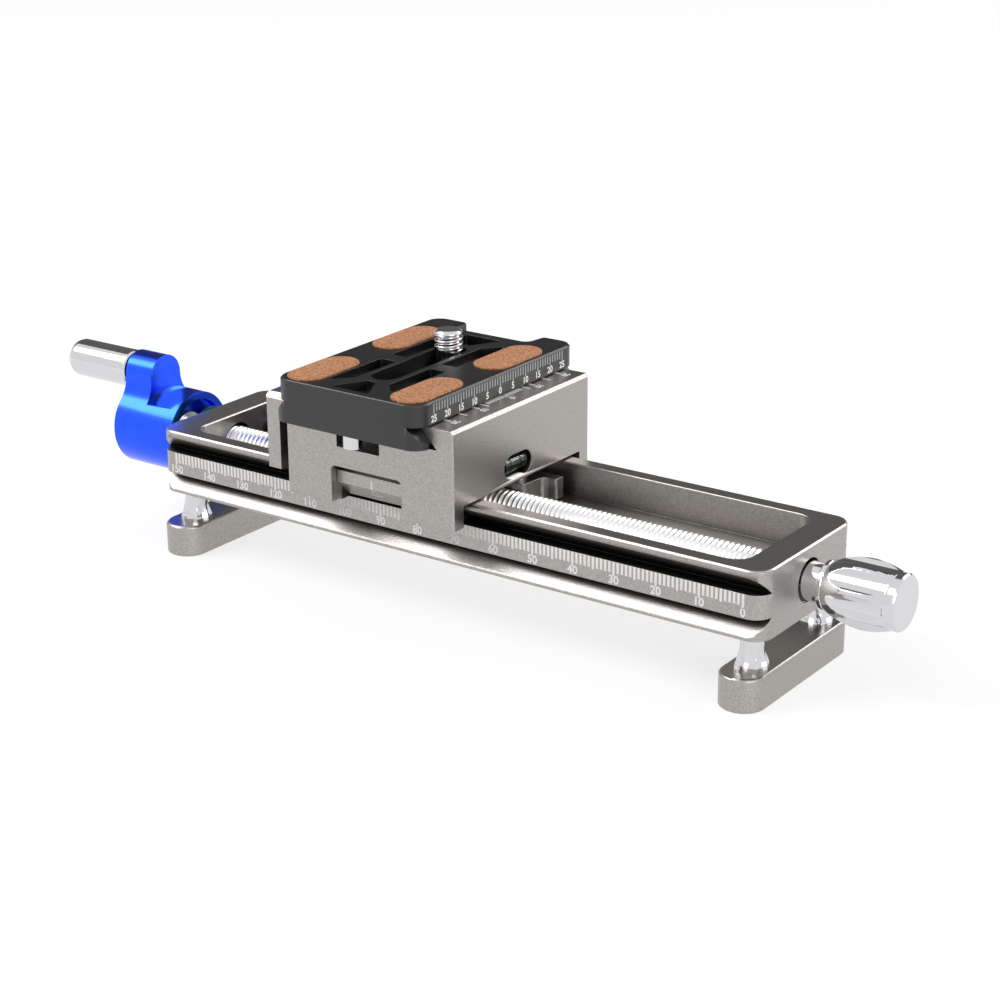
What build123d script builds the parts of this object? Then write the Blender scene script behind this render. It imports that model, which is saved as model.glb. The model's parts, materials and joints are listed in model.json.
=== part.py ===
from build123d import *
import math
import os

os.makedirs("parts", exist_ok=True)

# ---------------------------------------------------------------------------
# Driving dimensions, in millimetres. +X runs along the rail towards the fine
# knob, the front is -Y, +Z is up and Z = 0 is the table under the foot bars.
# While modelling, X = 0 is under the scale's 75 mark. The saved files are
# moved so that their origin is on the table under the scale's zero mark.
# ---------------------------------------------------------------------------
SCALE_ZERO = 75.0

RAIL_X0 = -80.1
RAIL_X1 = 79.5
RAIL_W = 37.4
RAIL_BOTTOM = 14.65
RAIL_TOP = 29.46
RAIL_CORNER_R = 4.0
FLANGE_TOP = 15.6
RIDGE_BOTTOM = 19.26
RIDGE_TOP = 24.4
LIP_BOTTOM = 27.92

POCKET_HALF_X = 72.6
POCKET_HALF_Y = 14.9
POCKET_FLOOR = 21.9
POCKET_R = 4.0
STOP_X = 71.0
STOP_Y = 11.0
STOP_R = 1.25

AXIS_Z = 22.16
SCREW_R = 4.0
JOURNAL_R = 3.0
RUN = 0.06
TROUGH_R = 4.5

FOOT_X = 74.5
FOOT_HALF_W = 5.0
FOOT_Y0 = -21.6
FOOT_Y1 = 20.6
FOOT_TOP = 7.35
POST_Y = 13.5
POST_TOP_R = 2.45
POST_BASE_R = 3.6

HUB_R = 10.05
LOBE_R = 5.0
LOBE_RISE = 12.74
NECK_R = 8.0
ARM_X0 = -104.5
ARM_X1 = -95.2
CUP_X = -85.5
CUP_DEPTH = 5.2
HANDLE_END = -124.0
HANDLE_R = 4.6

CAR_X0 = -35.35
CAR_X1 = 9.7
CAR_HALF_Y = 25.2
CAR_BOTTOM = 25.1
CAR_BELLY = 29.8
CAR_FLOOR = 42.3
SKIRT_IN = 21.7
WINDOW_X0 = -23.1
WINDOW_X1 = -4.0
WINDOW_TOP = 33.6

JAW_TOP = 47.0
JAW_BREAK = 0.7
NOSE_X = 1.25
NOSE_Z = 46.6
JAW_X0 = -41.0
JAW_X1 = -37.2
JAW_END_BREAK = 1.2
CLAMP_Z = 35.8
CLAMP_SCREW_R = 2.5
PIN_Y = 16.0
PIN_R = 2.0

STUD_X = (-26.0, 2.6)
STUD_Y = 8.6
GRUB_X = (-29.0, -12.8, 3.4)
GRUB_Z = 27.0
NUT_END = 1.8
NUT_STEP_X = 7.6
NUT_STEP_Y = 9.65
NUT_TAIL_X = 11.7
NUT_LOW_TOP = 27.0

LEVEL_X = 7.25
LEVEL_Y = -2.0
LEVEL_Z = 33.42

PLATE_MID_X = -15.95
PLATE_HALF_X = 19.45
PLATE_BOTTOM = 42.4
FOOT_EDGE = 43.8
PLATE_WING = 47.2
PLATE_TOP = 52.1
PLATE_Y0 = -29.1
BAY_Y = 23.7
EAR_Y1 = 29.2
POCKET_Z = 49.7
PAD_OFF = 14.0
PAD_R = 4.4
PAD_SINK = 0.5
PAD_UP = 0.4
SLOT_R = 3.35
CAM_Y = 7.9
CAM_R = 3.175
CAM_TOP = 57.2
STOP_PIN_X = -16.6
STOP_PIN_Y = (-25.3, 18.2)


def box(x0, x1, y0, y1, z0, z1):
    return Pos((x0 + x1) / 2, (y0 + y1) / 2, (z0 + z1) / 2) * Box(x1 - x0, y1 - y0, z1 - z0)


def cyl_x(r, x0, x1, y=0.0, z=AXIS_Z):
    return Pos((x0 + x1) / 2, y, z) * Rot(0, 90, 0) * Cylinder(r, x1 - x0)


def cyl_y(r, y0, y1, x, z):
    return Pos(x, (y0 + y1) / 2, z) * Rot(90, 0, 0) * Cylinder(r, y1 - y0)


def cyl_z(r, z0, z1, x, y):
    return Pos(x, y, (z0 + z1) / 2) * Cylinder(r, z1 - z0)


def prism_x(points, x0, x1):
    # points are (y, z)
    wire = Polyline(*[(x0, y, z) for y, z in points], close=True)
    return extrude(make_face(wire), amount=x1 - x0, dir=(1, 0, 0))


def prism_y(points, y0, y1):
    # points are (x, z)
    wire = Polyline(*[(x, y0, z) for x, z in points], close=True)
    return extrude(make_face(wire), amount=y1 - y0, dir=(0, 1, 0))


def plan(sketch, z0, z1):
    return extrude(Pos(0, 0, z0) * sketch, amount=z1 - z0)


def outline(points, r):
    # a closed plan outline with its corners rounded
    face = make_face(Polyline(*points, close=True))
    return fillet(face.vertices(), r)


def rounded(x0, x1, y0, y1, z0, z1, r):
    sketch = Pos((x0 + x1) / 2, (y0 + y1) / 2) * RectangleRounded(x1 - x0, y1 - y0, r)
    return plan(sketch, z0, z1)


def stadium(x, y0, y1, r, z0, z1):
    # a slot running along Y
    return rounded(x - r, x + r, y0, y1, z0, z1, r - 0.0005)


def turned_x(points, y=0.0, z=AXIS_Z):
    # points are (x, radius), revolved about a line along X
    face = make_face(Polyline(*[(x, rad, 0) for x, rad in points], close=True))
    return Pos(0, y, z) * revolve(face, axis=Axis.X)


def turned_z(points, x, y):
    # points are (radius, z), revolved about a line along Z
    face = make_face(Polyline(*[(rad, 0, z) for rad, z in points], close=True))
    return Pos(x, y, 0) * revolve(face, axis=Axis.Z)


def hex_socket(across, depth):
    # a hexagon socket, cut upwards from z = 0
    return extrude(RegularPolygon(across / 2, 6, major_radius=False), amount=depth)


def save(shape, name):
    export_step(Pos(-SCALE_ZERO, 0, 0) * shape, "parts/" + name + ".step")


def edges_at_z(shape, z, tol=0.01):
    def flat(edge):
        limits = edge.bounding_box()
        return abs(limits.min.Z - z) < tol and abs(limits.max.Z - z) < tol

    return [edge for edge in shape.edges() if flat(edge)]


def upright_edges(shape, tol=0.01):
    def upright(edge):
        size = edge.bounding_box().size
        return size.Z > 5 and size.X < tol and size.Y < tol

    return [edge for edge in shape.edges() if upright(edge)]


# ---------------------------------------------------------------------------
# Rail
# ---------------------------------------------------------------------------
def make_rail():
    h = RAIL_W / 2
    lip_slope = LIP_BOTTOM - RIDGE_TOP
    flange_slope = RIDGE_BOTTOM - FLANGE_TOP
    front = [
        (-h, RAIL_BOTTOM),
        (-h, FLANGE_TOP),
        (-h + flange_slope, RIDGE_BOTTOM),
        (-h, RIDGE_BOTTOM),
        (-h, RIDGE_TOP),
        (-h + lip_slope, RIDGE_TOP),
        (-h, LIP_BOTTOM),
        (-h, RAIL_TOP),
    ]
    back = [(-y, z) for y, z in reversed(front)]
    rail = prism_x(front + back, RAIL_X0, RAIL_X1)
    rail = rail & rounded(RAIL_X0, RAIL_X1, -h, h, 0, 40, RAIL_CORNER_R)
    rail = chamfer(edges_at_z(rail, RAIL_TOP), 0.35)
    rail = rail - rounded(
        -POCKET_HALF_X, POCKET_HALF_X, -POCKET_HALF_Y, POCKET_HALF_Y, POCKET_FLOOR, 40, POCKET_R
    )
    rim = []
    for edge in edges_at_z(rail, RAIL_TOP):
        if abs(edge.center().Y) < h - 2 and abs(edge.center().X) < POCKET_HALF_X + 1:
            rim.append(edge)
    rail = chamfer(rim, 0.3)
    rail = rail - cyl_x(TROUGH_R, -POCKET_HALF_X, POCKET_HALF_X)
    rail = rail - cyl_x(4.9, RAIL_X0 - 1, -POCKET_HALF_X + 1)
    rail = rail - cyl_x(4.7, POCKET_HALF_X - 1, RAIL_X1 + 1)
    for sx in (-1, 1):
        for sy in (-1, 1):
            # blind holes: foot screws from below, end-stop dowels in the pocket floor
            rail = rail - cyl_z(1.5, RAIL_BOTTOM - 1, 18.6, sx * FOOT_X, sy * POST_Y)
            rail = rail - cyl_z(STOP_R, POCKET_FLOOR - 3.0, POCKET_FLOOR + 0.1, sx * STOP_X, sy * STOP_Y)
    return rail


save(make_rail(), "rail_body")

save(cyl_x(4.9, RAIL_X0, -77.0) - cyl_x(JOURNAL_R + RUN, RAIL_X0 - 1, -76), "bush_left")
save(cyl_x(4.7, 74.4, 77.0) - cyl_x(JOURNAL_R + RUN, 74, 78), "bush_right")

bearing_cap = turned_x([(RAIL_X0, 0), (RAIL_X0, 7.3), (-81.4, 7.3), (-82.2, 6.5), (-82.2, 0)])
save(bearing_cap - cyl_x(JOURNAL_R + RUN, -84, -78), "bearing_cap_left")

stops = [
    cyl_z(STOP_R, POCKET_FLOOR - 3.0, POCKET_FLOOR + 2.6, sx * STOP_X, sy * STOP_Y)
    for sx in (-1, 1)
    for sy in (-1, 1)
]
save(stops[0] + stops[1] + stops[2] + stops[3], "end_stop_dowels")

# ---------------------------------------------------------------------------
# Feet: two bars across the rail on flared posts
# ---------------------------------------------------------------------------
POST_PROFILE = [
    (1.55, FOOT_TOP),
    (POST_BASE_R, FOOT_TOP),
    (POST_BASE_R, FOOT_TOP + 0.5),
    (3.05, FOOT_TOP + 2.2),
    (2.65, FOOT_TOP + 3.8),
    (POST_TOP_R, FOOT_TOP + 5.3),
    (POST_TOP_R, RAIL_BOTTOM),
    (1.55, RAIL_BOTTOM),
]


def foot_screw(x, y):
    screw = cyl_z(1.5, 2.0, 18.4, x, y) + cyl_z(2.9, 0.4, 2.35, x, y)
    return screw - Pos(x, y, 0.3) * hex_socket(2.2, 1.6)


foot_screws = []
for sx, side in ((-1, "left"), (1, "right")):
    x = sx * FOOT_X
    bar = rounded(x - FOOT_HALF_W, x + FOOT_HALF_W, FOOT_Y0, FOOT_Y1, 0, FOOT_TOP, FOOT_HALF_W - 0.001)
    bar = chamfer(edges_at_z(bar, FOOT_TOP), 0.55)
    bar = chamfer(edges_at_z(bar, 0.0), 0.3)
    for sy, end in ((-1, "front"), (1, "back")):
        y = sy * POST_Y
        bar = bar - cyl_z(1.6, -1, FOOT_TOP + 1, x, y)
        bar = bar - cyl_z(3.1, -1, 2.4, x, y)
        save(turned_z(POST_PROFILE, x, y), "foot_post_" + end + "_" + side)
        foot_screws.append(foot_screw(x, y))
    save(bar, "foot_bar_" + side)
save(foot_screws[0] + foot_screws[1] + foot_screws[2] + foot_screws[3], "foot_screws")

# ---------------------------------------------------------------------------
# Lead screw with the crank on the left and the fine knob on the right
# ---------------------------------------------------------------------------
spindle = turned_x([
    (-97.0, 0),
    (-97.0, JOURNAL_R),
    (-75.9, JOURNAL_R),
    (-75.9, SCREW_R - 0.6),
    (-75.3, SCREW_R),
    (73.5, SCREW_R),
    (74.1, SCREW_R - 0.6),
    (74.1, JOURNAL_R),
    (97.0, JOURNAL_R),
    (97.0, 0),
])
save(spindle, "lead_screw")

thrust_washer = turned_x([(-82.45, JOURNAL_R), (-82.45, 5.6), (-83.4, 5.6), (-83.4, JOURNAL_R)])
save(thrust_washer, "thrust_washer_left")


def arm_outline():
    """Hub and lobe in the YZ plane, joined by concave necks that touch both circles."""
    to_hub = HUB_R + NECK_R
    to_lobe = LOBE_R + NECK_R
    neck_z = (to_hub ** 2 - to_lobe ** 2 + LOBE_RISE ** 2) / (2 * LOBE_RISE)
    neck_y = math.sqrt(to_hub ** 2 - neck_z ** 2)
    low_y = neck_y * HUB_R / to_hub
    low_z = neck_z * HUB_R / to_hub
    high_y = neck_y * LOBE_R / to_lobe
    high_z = LOBE_RISE + (neck_z - LOBE_RISE) * LOBE_R / to_lobe
    web = make_face(Polyline((-low_y, low_z), (low_y, low_z), (high_y, high_z), (-high_y, high_z), close=True))
    sketch = Circle(HUB_R) + Pos(0, LOBE_RISE) * Circle(LOBE_R) + web
    for side in (-1, 1):
        sketch = sketch - Pos(side * neck_y, neck_z) * Circle(NECK_R)
    return sketch


lobe_z = AXIS_Z + LOBE_RISE
arm = extrude(Pos(ARM_X0, 0, AXIS_Z) * (Plane.YZ * arm_outline()), amount=ARM_X1 - ARM_X0, dir=(1, 0, 0))
outer_rim = [e for e in arm.edges() if e.bounding_box().size.X < 0.01 and abs(e.center().X - ARM_X0) < 0.01]
arm = chamfer(outer_rim, 1.0)
crank = arm + cyl_x(HUB_R, ARM_X1 - 3, CUP_X)
crank = crank - cyl_x(8.3, CUP_X - CUP_DEPTH, CUP_X + 1)
crank = crank - cyl_x(JOURNAL_R, -97.0, -90)
crank = crank - cyl_x(2.0, ARM_X0 - 5, ARM_X1 - 1.9, 0, lobe_z)
save(crank, "crank_body")

nut_x0 = CUP_X - CUP_DEPTH
lock_nut = turned_x([(nut_x0, JOURNAL_R), (nut_x0, 4.6), (nut_x0 + 2.2, 4.6), (nut_x0 + 2.2, JOURNAL_R)])
save(lock_nut, "crank_lock_nut")

bolt = cyl_x(2.0, HANDLE_END + 1.7, ARM_X1 - 2.0, 0, lobe_z)
bolt = bolt + cyl_x(3.0, HANDLE_END + 0.9, HANDLE_END + 2.3, 0, lobe_z)
bolt = bolt - Pos(HANDLE_END + 0.6, 0, lobe_z) * Rot(0, 90, 0) * hex_socket(2.3, 1.2)
save(bolt, "handle_bolt")

sleeve = turned_x([
    (HANDLE_END, 0),
    (HANDLE_END, HANDLE_R - 1.2),
    (HANDLE_END + 0.3, HANDLE_R - 0.65),
    (HANDLE_END + 1.0, HANDLE_R - 0.2),
    (HANDLE_END + 1.9, HANDLE_R),
    (ARM_X0 - 0.8, HANDLE_R),
    (ARM_X0 - 0.3, HANDLE_R - 0.4),
    (ARM_X0 - 0.3, 0),
], 0, lobe_z)
sleeve = sleeve - cyl_x(2.06, HANDLE_END - 1, ARM_X0 + 1, 0, lobe_z)
sleeve = sleeve - cyl_x(3.06, HANDLE_END - 1, HANDLE_END + 2.5, 0, lobe_z)
save(sleeve, "crank_handle")

collar_ring = turned_x([(83.3, 0), (83.3, 5.0), (83.6, 5.15), (84.3, 5.15), (84.6, 4.9), (84.6, 0)])
save(cyl_x(4.15, 77.3, 83.3) + collar_ring - cyl_x(JOURNAL_R, 77, 85), "knob_collar")

# barrel: a bulging turned body with straight round-bottomed flutes
FLUTES = 8
FLUTE_R = 3.6
FLUTE_CIRCLE_R = 9.5
FLUTE_PHASE = 4.0
barrel_outline = Polyline((99.0, 5.95), (99.0, 0), (84.6, 0), (84.6, 5.2))
barrel_outline = barrel_outline + ThreePointArc((84.6, 5.2), (92.8, 7.2), (99.0, 5.95))
barrel = Pos(0, 0, AXIS_Z) * revolve(make_face(barrel_outline), axis=Axis.X)
for i in range(FLUTES):
    a = math.radians(i * 360.0 / FLUTES + FLUTE_PHASE)
    y = FLUTE_CIRCLE_R * math.cos(a)
    z = AXIS_Z + FLUTE_CIRCLE_R * math.sin(a)
    barrel = barrel - cyl_x(FLUTE_R, 85.2, 98.4, y, z)
save(barrel - cyl_x(JOURNAL_R, 80, 97.0), "knob_barrel")

save(turned_x([(99.0, 0), (99.0, 5.95), (100.4, 5.95), (100.7, 5.65), (100.7, 0)]), "knob_cap")


# ---------------------------------------------------------------------------
# Carriage
# ---------------------------------------------------------------------------
def level_slot(length, width, x0, depth):
    sketch = Rot(0, 0, 90) * SlotOverall(length, width)
    return Pos(x0, LEVEL_Y, LEVEL_Z) * Rot(0, 90, 0) * extrude(sketch, amount=depth)


def make_carriage():
    body = box(CAR_X0, CAR_X1, -CAR_HALF_Y, CAR_HALF_Y, CAR_BOTTOM, CAR_FLOOR)
    fixed_jaw = prism_y([
        (NOSE_X + NOSE_Z - 40.0, 40.0),
        (NOSE_X, NOSE_Z),
        (NOSE_X + 0.4, NOSE_Z + 0.35),
        (CAR_X1, JAW_TOP),
        (CAR_X1, 40.0),
    ], -CAR_HALF_Y, CAR_HALF_Y)
    body = body + fixed_jaw
    body = chamfer([e for e in upright_edges(body) if e.length > 15], 0.35)
    top_edge = [e for e in edges_at_z(body, JAW_TOP) if abs(e.center().X - CAR_X1) < 0.01]
    body = chamfer(top_edge, JAW_BREAK)
    body = body - box(CAR_X0 - 1, CAR_X1 + 1, -SKIRT_IN, SKIRT_IN, CAR_BOTTOM - 1, CAR_BELLY)
    # groove for the plate's stop pins, along the whole floor
    body = body - box(-21.3, -9.7, -CAR_HALF_Y - 1, CAR_HALF_Y + 1, 38.1, CAR_FLOOR + 1)
    body = body - cyl_z(2.0, 33.0, 39.0, -15.5, 0)
    # scale window through the front skirt, rounded at its top
    window = box(WINDOW_X0, WINDOW_X1, -CAR_HALF_Y - 1, -SKIRT_IN + 0.01, CAR_BOTTOM - 1, WINDOW_TOP)
    top_corners = [e for e in edges_at_z(window, WINDOW_TOP) if e.bounding_box().size.X < 0.01]
    body = body - fillet(top_corners, 1.2)
    body = body - level_slot(10.0, 5.4, CAR_X1 - 4.6, 8.0)
    # clamp screw bore, guide pin bores, nut block screws, strip screws
    body = body - cyl_x(CLAMP_SCREW_R + RUN, CAR_X0 - 1, -21.7, 0, CLAMP_Z)
    for sy in (-1, 1):
        body = body - cyl_x(PIN_R + RUN, CAR_X0 - 1, -21.7, sy * PIN_Y, CLAMP_Z)
    for x in STUD_X:
        body = body - cyl_z(1.5, CAR_BELLY - 1, 36.0, x, STUD_Y)
    for x in GRUB_X:
        body = body - cyl_y(1.5, SKIRT_IN - 0.5, CAR_HALF_Y + 1, x, GRUB_Z)
    return body


save(make_carriage(), "carriage_block")

# index plate inside the window: an upright face over a sloping one
index = prism_x([
    (-SKIRT_IN, 32.0),
    (-23.3, 32.0),
    (-23.3, 29.2),
    (-19.6, 25.5),
    (-19.2, 25.5),
    (-19.2, 29.6),
    (-SKIRT_IN, 29.6),
], WINDOW_X0 + 0.1, WINDOW_X1 - 0.1)
save(index, "index_plate")

STRIP_PROFILE = [(-SKIRT_IN, 24.75), (-15.95, 24.75), (-19.0, 27.8), (-19.0, 29.2), (-SKIRT_IN, 29.2)]
for sy, side in ((1, "front"), (-1, "back")):
    strip = prism_x([(sy * y, z) for y, z in STRIP_PROFILE], CAR_X0 + 3.0, CAR_X1 - 3.0)
    if side == "front":
        strip = strip - box(WINDOW_X0, WINDOW_X1, -30, 0, 20, 35)
    save(strip, "slide_strip_" + side)

grubs = [cyl_y(1.5, SKIRT_IN, CAR_HALF_Y - 0.4, x, GRUB_Z) for x in GRUB_X]
save(grubs[0] + grubs[1] + grubs[2], "strip_grub_screws")


def make_nut_block():
    """Around the screw's back half, with a lower tail that shows right of the carriage."""
    tall = make_face(Polyline((-30.0, -6.8), (NUT_END, -6.8), (NUT_END, 12.3), (-30.0, 12.3), close=True))
    low = make_face(Polyline(
        (NUT_END - 1, 2.6),
        (NUT_STEP_X, 2.6),
        (NUT_STEP_X + 0.8, NUT_STEP_Y),
        (NUT_TAIL_X, NUT_STEP_Y),
        (NUT_TAIL_X, 12.3),
        (NUT_END - 1, 12.3),
        close=True,
    ))
    corners = [v for v in low.vertices() if v.X > NUT_STEP_X - 0.1 and v.Y < 12]
    low = fillet([v for v in corners if v.X < NUT_TAIL_X - 0.1], 1.6)
    low = fillet([v for v in low.vertices() if v.X > NUT_TAIL_X - 0.1 and v.Y < 12], 0.6)
    block = plan(tall, 22.3, CAR_BELLY) + plan(low, 22.3, NUT_LOW_TOP)
    block = block - cyl_x(5.4, -31, NUT_END) - cyl_x(SCREW_R + 0.3, NUT_END - 1, 17)
    for x in STUD_X:
        block = block - cyl_z(1.5, 20, 40, x, STUD_Y)
    return block


save(make_nut_block(), "nut_block")

half_nut = (cyl_x(5.4, -24.0, 1.0) - cyl_x(SCREW_R + RUN, -25, 5)) & box(-25, 5, -6, 6, 22.3, 40)
save(half_nut, "drive_nut")

studs = [cyl_z(1.5, 22.6, 35.8, x, STUD_Y) for x in STUD_X]
save(studs[0] + studs[1], "nut_block_studs")

save(cyl_z(2.0, 33.0, 38.1, -15.5, 0) + cyl_z(3.4, 38.1, 41.4, -15.5, 0), "groove_stop_pin")

# level: white carrier behind, glass tube, liquid and end caps
carrier = level_slot(9.9, 5.3, CAR_X1 - 4.6, 1.2)
save(carrier - cyl_y(2.15, -10, 10, LEVEL_X, LEVEL_Z), "level_carrier")
save(cyl_y(2.1, -5.2, 1.2, LEVEL_X, LEVEL_Z) - cyl_y(1.7, -4.9, 0.9, LEVEL_X, LEVEL_Z), "level_tube")
save(cyl_y(1.7, -4.9, 0.9, LEVEL_X, LEVEL_Z), "level_liquid")
save(cyl_y(2.1, -5.8, -5.2, LEVEL_X, LEVEL_Z) + cyl_y(2.1, 1.2, 1.8, LEVEL_X, LEVEL_Z), "level_end_plugs")

# ---------------------------------------------------------------------------
# Moving jaw with its two guide pins, clamp screw and knob
# ---------------------------------------------------------------------------
tip = 2 * PLATE_MID_X - NOSE_X
jaw = prism_y([
    (JAW_X0, CAR_BELLY),
    (JAW_X1, CAR_BELLY),
    (JAW_X1, NOSE_Z - (tip - JAW_X1)),
    (tip, NOSE_Z),
    (tip - 0.4, NOSE_Z + 0.3),
    (JAW_X0, NOSE_Z + 0.3),
], -CAR_HALF_Y, CAR_HALF_Y)
jaw = chamfer([e for e in jaw.edges() if abs(e.center().X - JAW_X0) < 0.01], 0.35)
top = NOSE_Z + 0.3
jaw = jaw & prism_x([
    (-CAR_HALF_Y, CAR_BELLY - 1),
    (CAR_HALF_Y, CAR_BELLY - 1),
    (CAR_HALF_Y, top - JAW_END_BREAK),
    (CAR_HALF_Y - JAW_END_BREAK, top),
    (JAW_END_BREAK - CAR_HALF_Y, top),
    (-CAR_HALF_Y, top - JAW_END_BREAK),
], JAW_X0 - 1, tip + 1)
jaw = jaw - cyl_x(CLAMP_SCREW_R + RUN, -42, -36, 0, CLAMP_Z)
for sy in (-1, 1):
    jaw = jaw - cyl_x(PIN_R, JAW_X0 + 1.2, -36, sy * PIN_Y, CLAMP_Z)
save(jaw, "moving_jaw")

pins = [cyl_x(PIN_R, JAW_X0 + 1.2, -21.9, sy * PIN_Y, CLAMP_Z) for sy in (-1, 1)]
save(pins[0] + pins[1], "jaw_guide_pins")

KNOB_END = -56.4
KNOB_IN = -41.9
KNOB_R = 6.0
KNOB_GROOVES = 10
save(cyl_x(CLAMP_SCREW_R, KNOB_END + 4.0, -21.9, 0, CLAMP_Z), "clamp_screw")
washer = turned_x([(KNOB_IN, 2.5), (KNOB_IN, 4.5), (-41.1, 4.5), (-41.1, 2.5)], 0, CLAMP_Z)
save(washer, "clamp_washer")
knob = turned_x([
    (KNOB_END, 0),
    (KNOB_END, KNOB_R - 1.1),
    (KNOB_END + 1.1, KNOB_R),
    (-45.2, KNOB_R),
    (-44.4, KNOB_R - 1.2),
    (KNOB_IN, KNOB_R - 1.4),
    (KNOB_IN, 0),
], 0, CLAMP_Z)
for i in range(KNOB_GROOVES):
    a = math.radians(i * 360.0 / KNOB_GROOVES)
    y = (KNOB_R + 0.55) * math.cos(a)
    z = CLAMP_Z + (KNOB_R + 0.55) * math.sin(a)
    knob = knob - cyl_x(1.1, KNOB_END - 1, -45.6, y, z)
save(knob - cyl_x(CLAMP_SCREW_R, KNOB_END + 4.0, -40, 0, CLAMP_Z), "clamp_knob")

# ---------------------------------------------------------------------------
# Quick release plate. Places across the plate are given from its middle line.
# ---------------------------------------------------------------------------
mid = PLATE_MID_X
PADS = []
for sx, side in ((-1, "left"), (1, "right")):
    PADS.append(("front_" + side, mid + sx * PAD_OFF, -28.0, -8.7))
    PADS.append(("back_" + side, mid + sx * PAD_OFF, 1.1, 20.7))


def mirrored(points):
    # an outline on the right of the middle line, and its mirror image on the left
    right = [(mid + x, y) for x, y in points]
    left = [(mid - x, y) for x, y in reversed(points)]
    return right, left


def make_plate():
    foot_out = NOSE_X + NOSE_Z - 0.1 - FOOT_EDGE
    neck_out = NOSE_X + NOSE_Z - 0.1 - PLATE_WING
    wing_x0 = mid - PLATE_HALF_X
    wing_x1 = mid + PLATE_HALF_X
    foot_x0 = 2 * mid - foot_out
    dovetail = prism_y([
        (foot_out, PLATE_BOTTOM),
        (foot_out, FOOT_EDGE),
        (neck_out, PLATE_WING),
        (2 * mid - neck_out, PLATE_WING),
        (foot_x0, FOOT_EDGE),
        (foot_x0, PLATE_BOTTOM),
    ], PLATE_Y0, EAR_Y1)
    dovetail = dovetail & rounded(foot_x0, foot_out, PLATE_Y0, EAR_Y1, 40, 60, 3.6)
    wing = rounded(wing_x0, wing_x1, PLATE_Y0, EAR_Y1 + 9, PLATE_WING, PLATE_TOP, 4.4)
    wing = wing & rounded(wing_x0, wing_x1, PLATE_Y0 - 9, EAR_Y1, PLATE_WING, PLATE_TOP, 3.4)
    plate = wing + dovetail
    # hollow back edge between the two ears, flared on the right
    bay = make_face(Polyline(
        (-26.8, BAY_Y),
        (-5.9, BAY_Y),
        (-5.0, EAR_Y1 + 1),
        (-26.8, EAR_Y1 + 1),
        close=True,
    ))
    inner = [v for v in bay.vertices() if abs(v.Y - BAY_Y) < 0.01]
    plate = plate - plan(fillet(inner, 1.6), 40, 60)
    ear = [e for e in upright_edges(plate, 0.001) if e.center().Y > EAR_Y1 - 0.05 and -7 < e.center().X < -4]
    plate = fillet(ear, 1.2)
    plate = chamfer(edges_at_z(plate, PLATE_TOP), 0.4)
    # top pockets: four long ones with slanting ends, one trapezium at each end
    front = [(4.6, -19.2), (8.9, -24.0), (8.9, -4.9), (4.6, -4.9)]
    back = [(4.6, -1.2), (8.9, -1.2), (8.9, 18.4), (4.6, 13.6)]
    for points in mirrored(front) + mirrored(back):
        plate = plate - plan(outline(points, 0.7), POCKET_Z, 60)
    front = [(mid - 5.2, -26.9), (mid + 5.2, -26.9), (mid + 1.2, -19.4), (mid - 1.2, -19.4)]
    back = [(mid + 5.2, 20.9), (mid - 5.2, 20.9), (mid - 1.2, 13.8), (mid + 1.2, 13.8)]
    for points in (front, back):
        plate = plate - plan(outline(points, 0.6), POCKET_Z, 60)
    # camera screw slot with a wide recess under it
    plate = plate - stadium(mid, -17.7, 12.3, SLOT_R, 40, 60)
    plate = plate - rounded(mid - 7.4, mid + 7.4, -20.8, 15.2, 40, 47.5, 3.0)
    for name, x, y0, y1 in PADS:
        plate = plate - stadium(x, y0, y1, PAD_R, PLATE_TOP - PAD_SINK, 60)
    for y in STOP_PIN_Y:
        plate = plate - cyl_z(1.6, 40, 46.5, STOP_PIN_X, y)
    return plate


save(make_plate(), "plate_body")

for name, x, y0, y1 in PADS:
    save(stadium(x, y0, y1, PAD_R, PLATE_TOP - PAD_SINK, PLATE_TOP + PAD_UP), "cork_pad_" + name)

stop_pins = []
for y in STOP_PIN_Y:
    stop_pins.append(cyl_z(1.6, 41.0, 46.5, STOP_PIN_X, y) + cyl_z(2.2, 38.9, 42.3, STOP_PIN_X, y))
save(stop_pins[0] + stop_pins[1], "plate_stop_pins")

washer = turned_z([(3.25, 46.6), (6.2, 46.6), (6.2, 47.3), (3.25, 47.3)], mid, CAM_Y)
save(washer, "camera_screw_washer")

# camera screw: slotted head under the plate, relieved neck in the slot, thread above it
cam = turned_z([
    (0, 43.0),
    (5.9, 43.0),
    (6.2, 43.3),
    (6.2, 46.3),
    (2.9, 46.3),
    (2.9, PLATE_TOP + 0.7),
    (CAM_R, PLATE_TOP + 0.9),
    (CAM_R, CAM_TOP - 0.6),
    (2.6, CAM_TOP),
    (0, CAM_TOP),
], mid, CAM_Y)
save(cam - box(mid - 10, mid + 10, CAM_Y - 0.6, CAM_Y + 0.6, 42, 44.4), "camera_screw")
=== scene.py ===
import json
import math

import bmesh
import bpy
from mathutils import Matrix, Vector


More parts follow.
